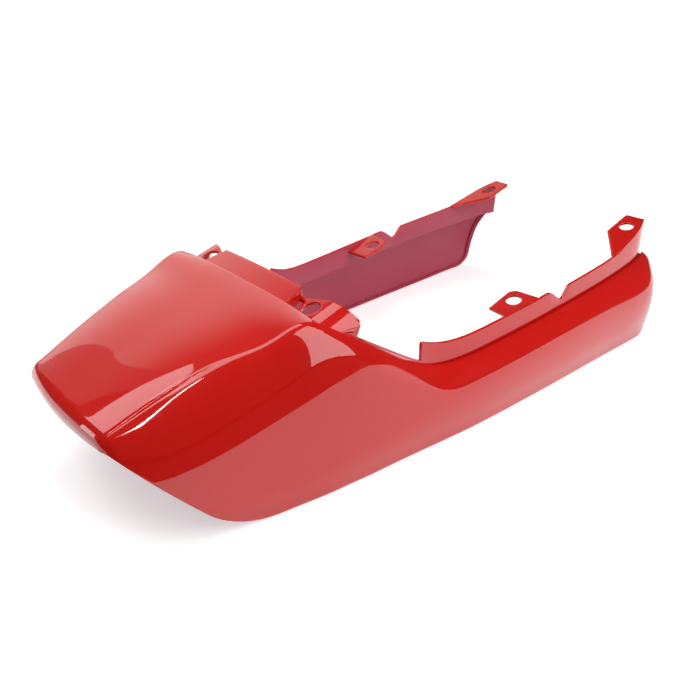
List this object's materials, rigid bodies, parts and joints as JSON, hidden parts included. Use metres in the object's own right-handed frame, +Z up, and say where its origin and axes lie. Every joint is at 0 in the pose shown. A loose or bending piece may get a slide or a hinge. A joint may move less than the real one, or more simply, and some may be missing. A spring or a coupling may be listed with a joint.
{
  "type": "motorcycle tail fairing",
  "caption": "One-piece glossy motorcycle tail fairing: a sloping duck-tail deck with two long side arms around an open seat gap, tabs with holes, and a grooved flange along the seat edge.",
  "frame": {"origin": "centre of the fairing's bounding box, on the floor plane under the bottom edges of the side panels", "axes": "+X towards the front of the bike, +Y to the bike's left, +Z up; the XZ plane is the plane of symmetry"},
  "size_m": [0.6044, 0.2808, 0.1479],
  "materials": {
    "red_paint": "gloss"
  },
  "bodies": {
    "root": {"tail_fairing": "red_paint"}
  },
  "joints": []
}
